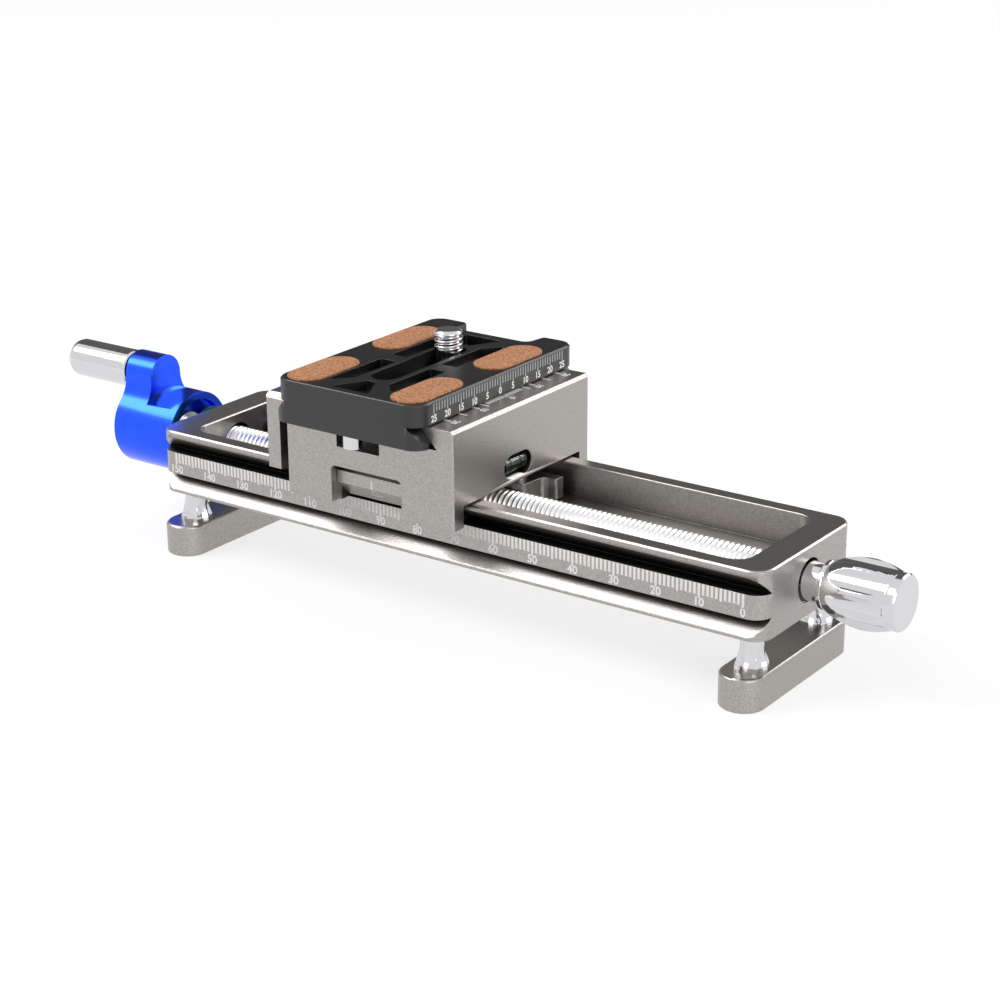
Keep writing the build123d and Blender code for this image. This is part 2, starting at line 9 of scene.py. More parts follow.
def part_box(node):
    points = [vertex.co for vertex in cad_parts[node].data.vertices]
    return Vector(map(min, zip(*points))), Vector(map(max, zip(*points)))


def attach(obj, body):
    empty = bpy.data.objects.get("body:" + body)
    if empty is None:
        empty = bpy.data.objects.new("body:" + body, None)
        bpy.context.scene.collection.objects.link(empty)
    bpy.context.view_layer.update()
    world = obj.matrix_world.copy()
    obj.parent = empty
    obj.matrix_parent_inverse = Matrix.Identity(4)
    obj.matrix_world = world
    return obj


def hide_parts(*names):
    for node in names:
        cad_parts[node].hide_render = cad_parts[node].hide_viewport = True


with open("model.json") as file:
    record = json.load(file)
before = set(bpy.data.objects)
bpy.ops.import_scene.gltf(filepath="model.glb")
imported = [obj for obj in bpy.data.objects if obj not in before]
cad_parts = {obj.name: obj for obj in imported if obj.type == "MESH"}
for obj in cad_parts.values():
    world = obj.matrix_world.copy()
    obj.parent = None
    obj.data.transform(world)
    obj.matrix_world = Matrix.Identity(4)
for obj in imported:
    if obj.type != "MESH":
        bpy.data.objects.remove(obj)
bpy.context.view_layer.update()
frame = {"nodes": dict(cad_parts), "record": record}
MM = 0.001
X, Y, Z = Vector((1, 0, 0)), Vector((0, 1, 0)), Vector((0, 0, 1))


def box_mm(node):
    """A node's lowest and highest corners, in millimetres."""
    low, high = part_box(node)
    return Vector(low) / MM, Vector(high) / MM


# ---------------------------------------------------------------------------
# Sizes in millimetres. The frame's origin is under the scale's zero mark.
# ---------------------------------------------------------------------------
RAIL_LOW, RAIL_HIGH = box_mm("rail_body")
RIDGE_TOP = 24.4
PLATE_LOW, PLATE_HIGH = box_mm("plate_body")
PLATE_MID = (PLATE_LOW.x + PLATE_HIGH.x) / 2
WING_HALF = 19.45
JAW_TOP = box_mm("carriage_block")[1].z
INDEX_LOW, INDEX_HIGH = box_mm("index_plate")
SCREW_AXIS_Z = box_mm("bush_right")[0].z / 2 + box_mm("bush_right")[1].z / 2
PAINT_DEPTH = 0.03
EDGE_BREAK = 0.19
# real blasting pits are about 0.1 across, too fine for the picture, so they are drawn three times as coarse
GRIT_SIZE, GRIT_DEPTH = 0.32, 0.036
# how far the painted shade in grooves and pockets looks for the part's own faces
PAINTED_SHADE_REACH = 7.0


# ---------------------------------------------------------------------------
# Small helpers
# ---------------------------------------------------------------------------
def srgb(code):
    """'#A8A4A0' as the linear colour that a shader socket takes."""
    parts = [int(code[i:i + 2], 16) / 255 for i in (1, 3, 5)]
    linear = [c / 12.92 if c <= 0.04045 else ((c + 0.055) / 1.055) ** 2.4 for c in parts]
    return (*linear, 1.0)


def add(tree, kind, settings=None, **inputs):
    """Adds a node. Inputs are values, or sockets to link. i0, i1 are sockets by number, others by name."""
    node = tree.nodes.new(kind)
    for name, value in (settings or {}).items():
        setattr(node, name, value)
    for name, value in inputs.items():
        numbered = name[0] == "i" and name[1:].isdigit()
        socket = node.inputs[int(name[1:])] if numbered else node.inputs[name.replace("_", " ")]
        if isinstance(value, bpy.types.NodeSocket):
            tree.links.new(value, socket)
        else:
            socket.default_value = value
    return node


def math_node(tree, operation, *values):
    """A math node's result."""
    inputs = {"i" + str(number): value for number, value in enumerate(values)}
    return add(tree, "ShaderNodeMath", {"operation": operation}, **inputs).outputs[0]


# ---------------------------------------------------------------------------
# Materials
# ---------------------------------------------------------------------------
def new_material(name):
    material = bpy.data.materials.new(name)
    material.use_nodes = True
    tree = material.node_tree
    tree.nodes.clear()
    shader = add(tree, "ShaderNodeBsdfPrincipled")
    add(tree, "ShaderNodeOutputMaterial", i0=shader.outputs[0])
    place = add(tree, "ShaderNodeTexCoord").outputs["Object"]
    return material, tree, shader, place


def bead_blasted(name, colour, roughness, metallic, gloss=0.5):
    """Anodised aluminium with a bead-blasted skin: even in colour, fine pits make its highlights sparkle.

    Its edges are broken, so they catch the light. Its deep grooves and pockets get painted shade: the base
    colour darkens where its own faces close in.
    """
    material, tree, shader, place = new_material(name)
    grit = add(tree, "ShaderNodeTexNoise", Vector=place, Scale=1 / (GRIT_SIZE * MM), Detail=1.5, Roughness=0.6)
    cloud = add(tree, "ShaderNodeTexNoise", Vector=place, Scale=1 / (14 * MM), Detail=2.0)
    rough = add(
        tree, "ShaderNodeMapRange", Value=cloud.outputs[0], To_Min=roughness - 0.02, To_Max=roughness + 0.02
    )
    tree.links.new(rough.outputs[0], shader.inputs["Roughness"])
    edge = add(tree, "ShaderNodeBevel", {"samples": 6}, Radius=EDGE_BREAK * MM)
    bump = add(
        tree, "ShaderNodeBump", Strength=1.0, Distance=GRIT_DEPTH * MM,
        Height=grit.outputs[0], Normal=edge.outputs[0]
    )
    tree.links.new(bump.outputs[0], shader.inputs["Normal"])
    # painted shade: ambient occlusion from the part's own faces darkens the base colour in grooves and
    # pockets, down to a tenth; the grit then varies the tone at random
    painted_shade_occlusion = add(
        tree, "ShaderNodeAmbientOcclusion", {"samples": 6, "only_local": True}, Distance=PAINTED_SHADE_REACH * MM
    )
    depth = add(
        tree, "ShaderNodeMapRange", Value=painted_shade_occlusion.outputs["AO"],
        From_Min=0.30, From_Max=0.80, To_Min=0.10, To_Max=1.0
    )
    speck = add(
        tree, "ShaderNodeMapRange", Value=grit.outputs[0],
        From_Min=0.38, From_Max=0.62, To_Min=0.86, To_Max=1.12
    )
    strength = math_node(tree, "MULTIPLY", depth.outputs[0], speck.outputs[0])
    painted_shade_and_grit_colour = add(tree, "ShaderNodeVectorMath", {"operation": "SCALE"}, i0=srgb(colour)[:3], Scale=strength)
    tree.links.new(painted_shade_and_grit_colour.outputs[0], shader.inputs["Base Color"])
    shader.inputs["Metallic"].default_value = metallic
    shader.inputs["Specular IOR Level"].default_value = gloss
    return material


def smooth_metal(name, colour, roughness, grain_mm=0.8):
    """Polished or turned metal: a clean mirror with the faintest unevenness in its gloss."""
    material, tree, shader, place = new_material(name)
    wave = add(tree, "ShaderNodeTexNoise", Vector=place, Scale=1 / (grain_mm * MM), Detail=3.0)
    rough = add(
        tree, "ShaderNodeMapRange", Value=wave.outputs[0], To_Min=roughness * 0.8, To_Max=roughness * 1.25
    )
    tree.links.new(rough.outputs[0], shader.inputs["Roughness"])
    shader.inputs["Base Color"].default_value = srgb(colour)
    shader.inputs["Metallic"].default_value = 1.0
    return material


def cork_sheet():
    """Fine agglomerated cork: granules under a millimetre, matt, with darker specks between them."""
    material, tree, shader, place = new_material("fine_cork_sheet")
    grain = add(tree, "ShaderNodeTexVoronoi", Vector=place, Scale=1 / (0.55 * MM))
    fine = add(tree, "ShaderNodeTexNoise", Vector=place, Scale=1 / (0.34 * MM), Detail=3.0)
    ramp = add(tree, "ShaderNodeValToRGB", i0=fine.outputs[0])
    ramp.color_ramp.elements[0].position = 0.34
    ramp.color_ramp.elements[0].color = srgb("#7E4A2A")
    ramp.color_ramp.elements[1].position = 0.60
    ramp.color_ramp.elements[1].color = srgb("#C48C64")
    tree.links.new(ramp.outputs[0], shader.inputs["Base Color"])
    bump = add(tree, "ShaderNodeBump", Strength=0.5, Distance=0.05 * MM, Height=grain.outputs[0])
    tree.links.new(bump.outputs[0], shader.inputs["Normal"])
    shader.inputs["Roughness"].default_value = 0.85
    return material


def plain(name, colour, roughness, grain_mm=0.4, **sockets):
    """Plastic, paint or glass with an uneven gloss."""
    material, tree, shader, place = new_material(name)
    grain = add(tree, "ShaderNodeTexNoise", Vector=place, Scale=1 / (grain_mm * MM), Detail=2.0)
    rough = add(
        tree, "ShaderNodeMapRange", Value=grain.outputs[0], To_Min=roughness - 0.04, To_Max=roughness + 0.04
    )
    tree.links.new(rough.outputs[0], shader.inputs["Roughness"])
    shader.inputs["Base Color"].default_value = srgb(colour)
    for socket, value in sockets.items():
        shader.inputs[socket.replace("_", " ")].default_value = value
    return material


# the body: even satin grey with a fine sparkle
GREY = bead_blasted("titanium_grey_anodised_aluminium", "#A8A4A0", 0.34, 1.0)
# the plate: near black, its dye hides the metal, so only the clear oxide above it shines
BLACK = bead_blasted("black_anodised_aluminium", "#090909", 0.34, 0.0, 0.7)
# polished before dyeing: saturated blue whose highlights run into light blue
BLUE = smooth_metal("gloss_blue_anodised_aluminium", "#2E5CFF", 0.21)
GREEN = smooth_metal("green_anodised_aluminium", "#1FAE66", 0.22)
# knob, handle and posts: a clear mirror
CHROME = smooth_metal("polished_chrome_plate", "#D2D2D5", 0.08)
# screws: bright, with the blur that turning marks leave
STEEL = smooth_metal("turned_stainless_steel", "#EEEEEE", 0.30, 0.3)
BRASS = smooth_metal("turned_brass", "#C9A35C", 0.28, 0.3)
# porous oil bearing: dull brown metal
BRONZE = smooth_metal("sintered_bronze", "#9C7046", 0.42, 0.2)
CORK = cork_sheet()
# matt paint in the engraved scales
PAINT = plain("white_scale_paint", "#F6F6F4", 0.5)
# lines cut through the black anodising down to bare metal
TICK_METAL = smooth_metal("bright_cut_scale_lines", "#A9A9AB", 0.40)
WHITE = plain("white_polyoxymethylene", "#E4E4E2", 0.4)
DARK = plain("black_polyamide", "#0C0C0C", 0.45)
GLASS = plain("clear_level_glass", "#F2FAF4", 0.05, Transmission_Weight=1.0, IOR=1.47)
# deep green liquid, so that the level looks nearly black, and its paler bubble
LIQUID = plain("green_level_liquid", "#0A3A0A", 0.12)
BUBBLE = plain("pale_level_bubble", "#2E7A22", 0.10)

FINISHES = {
    "anodised_grey": GREY,
    "anodised_black": BLACK,
    "anodised_blue": BLUE,
    "anodised_green": GREEN,
    "polished_steel": CHROME,
    "bright_steel": STEEL,
    "brass": BRASS,
    "bronze": BRONZE,
    "cork": CORK,
    "level_glass": GLASS,
    "level_liquid": LIQUID,
    "white_plastic": WHITE,
    "black_plastic": DARK,
}
SLOT_OF = {}
for part in frame["record"]["subparts"]:
    SLOT_OF[part["node"]] = part["material_slot"]
    for material_slot in frame["nodes"][part["node"]].material_slots:
        material_slot.material = FINISHES[part["material_slot"]]


# ---------------------------------------------------------------------------
# Building and placing pieces
# ---------------------------------------------------------------------------
def place_mesh(mesh, origin, right, up):
    """Puts a mesh drawn flat in millimetres on a surface: its x along right, y along up."""
    right = right.normalized()
    up = up.normalized()
    basis = Matrix((right, up, right.cross(up))).transposed()
    for vertex in mesh.vertices:
        vertex.co = (origin + basis @ vertex.co) * MM


def join_meshes(name, meshes, material):
    """One object from several meshes, with its normals facing out."""
    joined = bmesh.new()
    for mesh in meshes:
        joined.from_mesh(mesh)
    bmesh.ops.recalc_face_normals(joined, faces=joined.faces)
    result = bpy.data.meshes.new(name)
    joined.to_mesh(result)
    joined.free()
    result.materials.clear()
    result.materials.append(material)
    for face in result.polygons:
        face.material_index = 0
    piece = bpy.data.objects.new(name, result)
    bpy.context.scene.collection.objects.link(piece)
    return piece


def shade(piece, angle_deg=35):
    """Smooth faces that keep edges sharper than the angle."""
    for face in piece.data.polygons:
        face.use_smooth = True
    piece.data.set_sharp_from_angle(angle=math.radians(angle_deg))


def lathe(profile, segments=96):
    """A turned mesh about the x axis from (x, radius) points, in millimetres."""
    turned = bmesh.new()
    rings = []
    for x, radius in profile:
        ring = []
        for step in range(segments):
            angle = 2 * math.pi * step / segments
            ring.append(turned.verts.new((x, radius * math.cos(angle), radius * math.sin(angle))))
        rings.append(ring)
    for first, second in zip(rings, rings[1:]):
        for step in range(segments):
            after = (step + 1) % segments
            turned.faces.new((first[step], first[after], second[after], second[step]))
    turned.faces.new(rings[0])
    turned.faces.new(rings[-1])
    mesh = bpy.data.meshes.new("turned")
    turned.to_mesh(mesh)
    turned.free()
    return mesh


def written(text, height, depth=PAINT_DEPTH):
    """A figure as a thin mesh, centred, in millimetres."""
    curve = bpy.data.curves.new("figure", "FONT")
    curve.body = text
    curve.size = height * 1.45
    curve.align_x = "CENTER"
    curve.align_y = "CENTER"
    curve.extrude = depth
    curve.offset = 0.040 * height
    curve.resolution_u = 4
    holder = bpy.data.objects.new("figure", curve)
    bpy.context.scene.collection.objects.link(holder)
    bpy.context.view_layer.update()
    mesh = bpy.data.meshes.new_from_object(holder)
    bpy.data.objects.remove(holder)
    return mesh


def bar(width, height, depth=PAINT_DEPTH):
    """A thin painted bar centred on the origin, its depth above and below the surface."""
    stroke = bmesh.new()
    bmesh.ops.create_cube(stroke, size=1.0, matrix=Matrix.Diagonal((width, height, 2 * depth, 1)))
    mesh = bpy.data.meshes.new("bar")
    stroke.to_mesh(mesh)
    stroke.free()
    return mesh


# ---------------------------------------------------------------------------
# Geometry Nodes trees for what repeats
# ---------------------------------------------------------------------------
def new_tree(name, inputs):
    """A tree with named inputs, its input node, and a function that finishes it."""
    tree = bpy.data.node_groups.new(name, "GeometryNodeTree")
    for socket, kind in inputs.items():
        tree.interface.new_socket(socket, in_out="INPUT", socket_type="NodeSocket" + kind)
    tree.interface.new_socket("Geometry", in_out="OUTPUT", socket_type="NodeSocketGeometry")
    source = add(tree, "NodeGroupInput").outputs

    def finish(geometry):
        real = add(tree, "GeometryNodeRealizeInstances", i0=geometry)
        painted = add(tree, "GeometryNodeSetMaterial", Geometry=real.outputs[0], Material=source["Material"])
        add(tree, "NodeGroupOutput", i0=painted.outputs[0])

    return tree, source, finish


def grow(tree, **values):
    """The mesh that a tree makes from its named inputs."""
    seed = bpy.data.objects.new("seed", bpy.data.meshes.new("seed"))
    bpy.context.scene.collection.objects.link(seed)
    modifier = seed.modifiers.new("grow", "NODES")
    modifier.node_group = tree
    for item in tree.interface.items_tree:
        if item.in_out == "INPUT":
            modifier[item.identifier] = values[item.name.replace(" ", "_")]
    bpy.context.view_layer.update()
    mesh = bpy.data.meshes.new_from_object(seed.evaluated_get(bpy.context.evaluated_depsgraph_get()))
    bpy.data.objects.remove(seed)
    return mesh


def tick_tree():
    """A row of ticks along x that hang down from y = 0."""
    inputs = {"Count": "Int", "Step": "Float", "Width": "Float", "Length": "Float", "Depth": "Float",
              "Material": "Material"}
    tree, source, finish = new_tree("scale_ticks", inputs)
    offset = add(tree, "ShaderNodeCombineXYZ", X=source["Step"])
    row = add(tree, "GeometryNodeMeshLine", Count=source["Count"], Offset=offset.outputs[0])
    size = add(tree, "ShaderNodeCombineXYZ", X=source["Width"], Y=source["Length"], Z=source["Depth"])
    block = add(tree, "GeometryNodeMeshCube", Size=size.outputs[0])
    drop = add(tree, "ShaderNodeCombineXYZ", Y=math_node(tree, "MULTIPLY", source["Length"], -0.5))
    hung = add(tree, "GeometryNodeTransform", Geometry=block.outputs[0], Translation=drop.outputs[0])
    ticks = add(tree, "GeometryNodeInstanceOnPoints", Points=row.outputs[0], Instance=hung.outputs[0])
    finish(ticks.outputs[0])
    return tree


def wrapped_grid(tree, source, length, turns_x):
    """A grid that will be wrapped about the x axis: its angle, its place along x, and the grid."""
    grid = add(
        tree, "GeometryNodeMeshGrid", Size_X=length, Size_Y=2 * math.pi,
        Vertices_X=turns_x, Vertices_Y=source["Segments"]
    )
    flat = add(tree, "ShaderNodeSeparateXYZ", i0=add(tree, "GeometryNodeInputPosition").outputs[0])
    return grid.outputs[0], flat.outputs["X"], flat.outputs["Y"]


def wrap(tree, grid, along, angle, radius):
    """Wraps the grid about the x axis and closes its seam."""
    y = math_node(tree, "MULTIPLY", radius, math_node(tree, "COSINE", angle))
    z = math_node(tree, "MULTIPLY", radius, math_node(tree, "SINE", angle))
    place = add(tree, "ShaderNodeCombineXYZ", X=along, Y=y, Z=z)
    moved = add(tree, "GeometryNodeSetPosition", Geometry=grid, Position=place.outputs[0])
    return add(tree, "GeometryNodeMergeByDistance", Geometry=moved.outputs[0], Distance=0.001).outputs[0]


def thread_tree():
    """A screw thread along x: a grid sheared by one pitch a turn, with the ridge's section along it."""
    inputs = {"Length": "Float", "Pitch": "Float", "Root": "Float", "Crest": "Float", "Columns": "Int",
              "Segments": "Int", "Material": "Material"}
    tree, source, finish = new_tree("screw_thread", inputs)
    whole = math_node(tree, "ADD", source["Length"], source["Pitch"])
    grid, along, angle = wrapped_grid(tree, source, whole, source["Columns"])
    half_pitch = math_node(tree, "MULTIPLY", source["Pitch"], 0.5)
    rise = math_node(tree, "DIVIDE", math_node(tree, "PINGPONG", along, half_pitch), half_pitch)
    radius = add(
        tree, "ShaderNodeMapRange", Value=rise, From_Min=0.18, From_Max=0.82,
        To_Min=source["Root"], To_Max=source["Crest"]
    )
    lead = math_node(tree, "MULTIPLY", source["Pitch"], math_node(tree, "DIVIDE", angle, 2 * math.pi))
    half = math_node(tree, "MULTIPLY", source["Length"], 0.5)
    sheared = math_node(tree, "ADD", along, lead)
    short_of_end = math_node(tree, "MINIMUM", sheared, half)
    cut = math_node(tree, "MAXIMUM", short_of_end, math_node(tree, "MULTIPLY", half, -1.0))
    finish(wrap(tree, grid, cut, angle, radius.outputs[0]))
    return tree


def flute_tree():
    """A post along x that flares at its foot, where flutes with sharp ridges between them are cut."""
    inputs = {"Length": "Float", "Foot": "Float", "Top": "Float", "Flutes": "Float", "Depth": "Float",
              "Columns": "Int", "Segments": "Int", "Material": "Material"}
    tree, source, finish = new_tree("fluted_post", inputs)
    grid, along, angle = wrapped_grid(tree, source, source["Length"], source["Columns"])
    rise = math_node(tree, "ADD", math_node(tree, "DIVIDE", along, source["Length"]), 0.5)
    left = math_node(tree, "MAXIMUM", math_node(tree, "SUBTRACT", 0.80, rise), 0.0)
    curved = math_node(tree, "MULTIPLY", math_node(tree, "POWER", left, 1.9), 1.8)
    widening = math_node(tree, "SUBTRACT", source["Foot"], source["Top"])
    flare = math_node(tree, "MULTIPLY", math_node(tree, "MINIMUM", curved, 1.0), widening)
    smooth = math_node(tree, "ADD", source["Top"], flare)
    half_turns = math_node(tree, "MULTIPLY", angle, math_node(tree, "MULTIPLY", source["Flutes"], 0.5))
    groove = math_node(tree, "ABSOLUTE", math_node(tree, "SINE", half_turns))
    fade = add(tree, "ShaderNodeMapRange", Value=rise, From_Min=0.66, From_Max=0.20, To_Min=0.0, To_Max=1.0)
    sunk = math_node(tree, "MULTIPLY", math_node(tree, "MULTIPLY", source["Depth"], fade.outputs[0]), groove)
    radius = math_node(tree, "SUBTRACT", smooth, sunk)
    finish(wrap(tree, grid, along, angle, radius))
    return tree


CORNERS = [end + "_" + side for side in ("left", "right") for end in ("front", "back")]
POSTS = ["foot_post_" + corner for corner in CORNERS]
PADS = ["cork_pad_" + corner for corner in CORNERS]
OWN_PIECES = ["lead_screw", "camera_screw"] + POSTS + PADS
TICKS = tick_tree()
THREAD = thread_tree()
FLUTES = flute_tree()


# ---------------------------------------------------------------------------
# The other nodes, with smooth shading
# ---------------------------------------------------------------------------
def smooth_copy(node, body):
    """A CAD node merged into whole faces, smooth where it is round, flat where it is flat."""
    copied = bmesh.new()
    copied.from_mesh(frame["nodes"][node].data)
    bmesh.ops.remove_doubles(copied, verts=copied.verts, dist=1e-6)
    bmesh.ops.dissolve_limit(copied, angle_limit=math.radians(0.4), verts=copied.verts, edges=copied.edges)
    bmesh.ops.recalc_face_normals(copied, faces=copied.faces)
    mesh = bpy.data.meshes.new(node)
    copied.to_mesh(mesh)
    copied.free()
    for face in mesh.polygons:
        face.use_smooth = True
    mesh.set_sharp_from_angle(angle=math.radians(30))
    rough = bpy.data.objects.new(node, mesh)
    bpy.context.scene.collection.objects.link(rough)
    weighted = rough.modifiers.new("weighted", "WEIGHTED_NORMAL")
    weighted.keep_sharp = True
    weighted.weight = 100
    bpy.context.view_layer.update()
    graph = bpy.context.evaluated_depsgraph_get()
    result = bpy.data.meshes.new_from_object(
        rough.evaluated_get(graph), preserve_all_data_layers=True, depsgraph=graph
    )
    bpy.data.objects.remove(rough)
    result.materials.clear()
    result.materials.append(FINISHES[SLOT_OF[node]])
    piece = bpy.data.objects.new(node + "_smooth", result)
    bpy.context.scene.collection.objects.link(piece)
    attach(piece, body)
    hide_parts(node)


# ---------------------------------------------------------------------------
# Lead screw and camera screw with real threads
# ---------------------------------------------------------------------------
def make_lead_screw():
    low, high = box_mm("lead_screw")
    trough_low, trough_high = RAIL_LOW.x + 4.8, RAIL_HIGH.x - 6.0
    pitch, crest = 1.25, 4.0
    length = trough_high - trough_low
    columns = round((length + pitch) / pitch * 8) + 1
    thread = grow(
        THREAD, Length=length, Pitch=pitch, Root=crest - 0.62, Crest=crest, Columns=columns, Segments=41,
        Material=STEEL
    )
    centre = Vector(((trough_low + trough_high) / 2, 0, SCREW_AXIS_Z))
    place_mesh(thread, centre, X, Y)
    ends = []
    for x0, x1 in ((low.x, trough_low + 0.01), (trough_high - 0.01, high.x)):
        end = lathe([(x0, 2.7), (x0 + 0.3, 3.0), (x1 - 0.3, 3.0), (x1, 2.9)], 48)
        place_mesh(end, Vector((0, 0, SCREW_AXIS_Z)), X, Y)
        ends.append(end)
    piece = join_meshes("lead_screw_threaded", [thread] + ends, STEEL)
    shade(piece, 50)
    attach(piece, "spindle")
    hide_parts("lead_screw")


def make_camera_screw():
    low, high = box_mm("camera_screw")
    centre = (low + high) / 2
    crest, root, pitch = 3.175, 2.45, 1.27
    top = high.z - 0.75
    length = 3.7
    thread = grow(
        THREAD, Length=length, Pitch=pitch, Root=root, Crest=crest,
        Columns=round((length + pitch) / pitch * 10) + 1, Segments=65, Material=CHROME
    )
    place_mesh(thread, Vector((centre.x, centre.y, top - length / 2)), Z, X)
    crown = lathe([
        (top - 0.25, root),
        (top, crest - 0.1),
        (top + 0.25, crest - 0.15),
        (high.z - 0.1, 2.55),
        (high.z, 2.4),
    ], 65)
    place_mesh(crown, Vector((centre.x, centre.y, 0)), Z, X)
    head_radius = (high.x - low.x) / 2
    head = lathe([
        (low.z, head_radius - 0.3),
        (low.z + 0.3, head_radius),
        (low.z + 3.0, head_radius),
        (low.z + 3.3, head_radius - 0.3),
        (low.z + 3.3, 2.9),
        (top - length, 2.9),
    ], 65)
    place_mesh(head, Vector((centre.x, centre.y, 0)), Z, X)
    piece = join_meshes("camera_screw_threaded", [thread, crown, head], CHROME)
    shade(piece, 50)
    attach(piece, "camera_stud")
    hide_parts("camera_screw")


make_lead_screw()
make_camera_screw()


# ---------------------------------------------------------------------------
# Fluted posts
# ---------------------------------------------------------------------------
def make_post(node):
    low, high = box_mm(node)
    centre = (low + high) / 2
    mesh = grow(
        FLUTES, Length=high.z - low.z, Foot=(high.x - low.x) / 2, Top=2.45, Flutes=8.0, Depth=0.55,
        Columns=26, Segments=145, Material=CHROME
    )
    place_mesh(mesh, centre, Z, X)
    piece = join_meshes(node + "_fluted", [mesh], CHROME)
    shade(piece, 60)
    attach(piece, "rail")
    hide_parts(node)


for post in POSTS:
    make_post(post)


# ---------------------------------------------------------------------------
# Cork pads
# ---------------------------------------------------------------------------
def make_pad(node):
    """A cork pad with soft, slightly crumbled edges."""
    low, high = box_mm(node)
    centre = (low + high) / 2
    radius = (high.x - low.x) / 2
    straight = (high.y - low.y) / 2 - radius
    pad = bmesh.new()
    arc = 20
    rings = []
    top = high.z
    section = ((0, low.z), (0, top - 0.22), (0.07, top - 0.07), (0.25, top), (1.6, top), (radius - 0.4, top))
    for inset, z in section:
        ring = []
        for end, start in ((1, 0.0), (-1, math.pi)):
            for step in range(arc + 1):
                angle = start + math.pi * step / arc
                crumble = 0.035 * math.sin(angle * 37 + 5 * end + z * 9) * (inset < 0.1)
                reach = radius - inset + crumble
                x = centre.x + reach * math.cos(angle)
                y = centre.y + end * straight + reach * math.sin(angle)
                ring.append(pad.verts.new((x, y, z)))
        rings.append(ring)
    count = len(rings[0])
    for first, second in zip(rings, rings[1:]):
        for step in range(count):
            after = (step + 1) % count
            pad.faces.new((first[step], first[after], second[after], second[step]))
    pad.faces.new(rings[0])
    pad.faces.new(rings[-1])
    for vertex in pad.verts:
        vertex.co *= MM
    mesh = bpy.data.meshes.new(node)
    pad.to_mesh(mesh)
    pad.free()
    piece = join_meshes(node + "_sheet", [mesh], CORK)
    shade(piece, 60)
    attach(piece, "plate")
    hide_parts(node)


for pad_node in PADS:
    make_pad(pad_node)


# ---------------------------------------------------------------------------
# Scales, figures and marks
# ---------------------------------------------------------------------------
def painted(name, meshes, body, material=PAINT):
    piece = join_meshes(name, meshes, material)
    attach(piece, body)


def tick_row(count, step, width, length, origin, right, up, material=PAINT):
    row = grow(
        TICKS, Count=count, Step=step, Width=width, Length=length, Depth=2 * PAINT_DEPTH, Material=material
    )
    place_mesh(row, origin, right, up)
    return row


def make_rail_scale():
    """0 to 150 from right to left on the ridge: a tick each millimetre and a figure each ten."""
    start = Vector((0, RAIL_LOW.y, RIDGE_TOP))
    rows = [
        tick_row(151, -1.0, 0.56, 2.40, start, X, Z),
        tick_row(31, -5.0, 0.50, 0.35, start - Z * 2.40, X, Z),
        tick_row(16, -10.0, 0.50, 0.35, start - Z * 2.75, X, Z),
    ]
    painted("rail_scale_ticks", rows, "rail")
    figures = []
    for number in range(0, 151, 10):
        figure = written(str(number), 1.72)
        place_mesh(figure, Vector((-number, RAIL_LOW.y, 20.42)), X, Z)
        figures.append(figure)
    painted("rail_scale_figures", figures, "rail")


def make_plate_scale():
    """25 to 0 to 25 on the plate's right side, ticks hanging from the top edge."""
    face_x = PLATE_MID + WING_HALF
    step = 0.94
    first_y = 0.3 - 25 * step
    top_z = PLATE_HIGH.z - 0.55
    rows = [
        tick_row(51, step, 0.36, 1.75, Vector((face_x, first_y, top_z)), Y, Z, TICK_METAL),
        tick_row(11, 5 * step, 0.36, 0.60, Vector((face_x, first_y, top_z - 1.75)), Y, Z, TICK_METAL),
    ]
    painted("plate_scale_ticks", rows, "plate", TICK_METAL)
    figures = []
    for number in range(-25, 26, 5):
        figure = written(str(abs(number)), 1.4)
        place_mesh(figure, Vector((face_x, number * step + 0.3, 48.3)), Y, Z)
        figures.append(figure)
    painted("plate_scale_figures", figures, "plate")


def make_jaw_scale():
    """Marks on the fixed jaw's top that the plate's scale is read against, with a fine row in the middle."""
    middle_y, start_x = 1.05, PLATE_MID + WING_HALF - 0.9
    meshes = []
    for number in (-20, -10, 0, 10, 20):
        line = bar(2.2, 0.46)
        place_mesh(line, Vector((start_x + 1.1, middle_y + number * 1.02, JAW_TOP)), X, Y)
        figure = written(str(abs(number)), 1.45)
        place_mesh(figure, Vector((start_x + 3.4, middle_y + number * 1.02, JAW_TOP)), -Y, X)
        meshes += [line, figure]
    for number in (-15.3, -7.6, 7.6, 15.3):
        line = bar(2.8, 0.42)
        place_mesh(line, Vector((start_x + 1.4, middle_y + number, JAW_TOP)), X, Y)
        meshes.append(line)
    fine = tick_row(19, 0.68, 0.34, 1.5, Vector((start_x + 0.4, middle_y - 6.1, JAW_TOP)), Y, -X)
    painted("jaw_scale_marks", meshes + [fine], "carriage")


def make_index_mark():
    """One line on the upright face and an outlined triangle on the sloping one."""
    middle_x = (INDEX_LOW.x + INDEX_HIGH.x) / 2
    line = bar(0.4, 2.1)
    place_mesh(line, Vector((middle_x, INDEX_LOW.y, 30.25)), X, Z)
    slope_up = Vector((0, -1, 1)).normalized()
    apex = Vector((middle_x, INDEX_LOW.y + 0.35, 29.2 - 0.35))
    half_width, drop = 1.5, 2.3
    corners = [(0, 0), (-half_width, -drop), (half_width, -drop)]
    strokes = [line]
    for start, end in zip(corners, corners[1:] + corners[:1]):
        run = Vector((end[0] - start[0], end[1] - start[1], 0))
        stroke = bar(run.length + 0.2, 0.26)
        turn = Matrix.Rotation(math.atan2(run.y, run.x), 3, "Z")
        middle = Vector(((start[0] + end[0]) / 2, (start[1] + end[1]) / 2, 0))
        for vertex in stroke.vertices:
            vertex.co = turn @ vertex.co + middle
        place_mesh(stroke, apex, X, slope_up)
        strokes.append(stroke)
    painted("index_mark", strokes, "carriage")


make_rail_scale()
make_plate_scale()
make_jaw_scale()
make_index_mark()


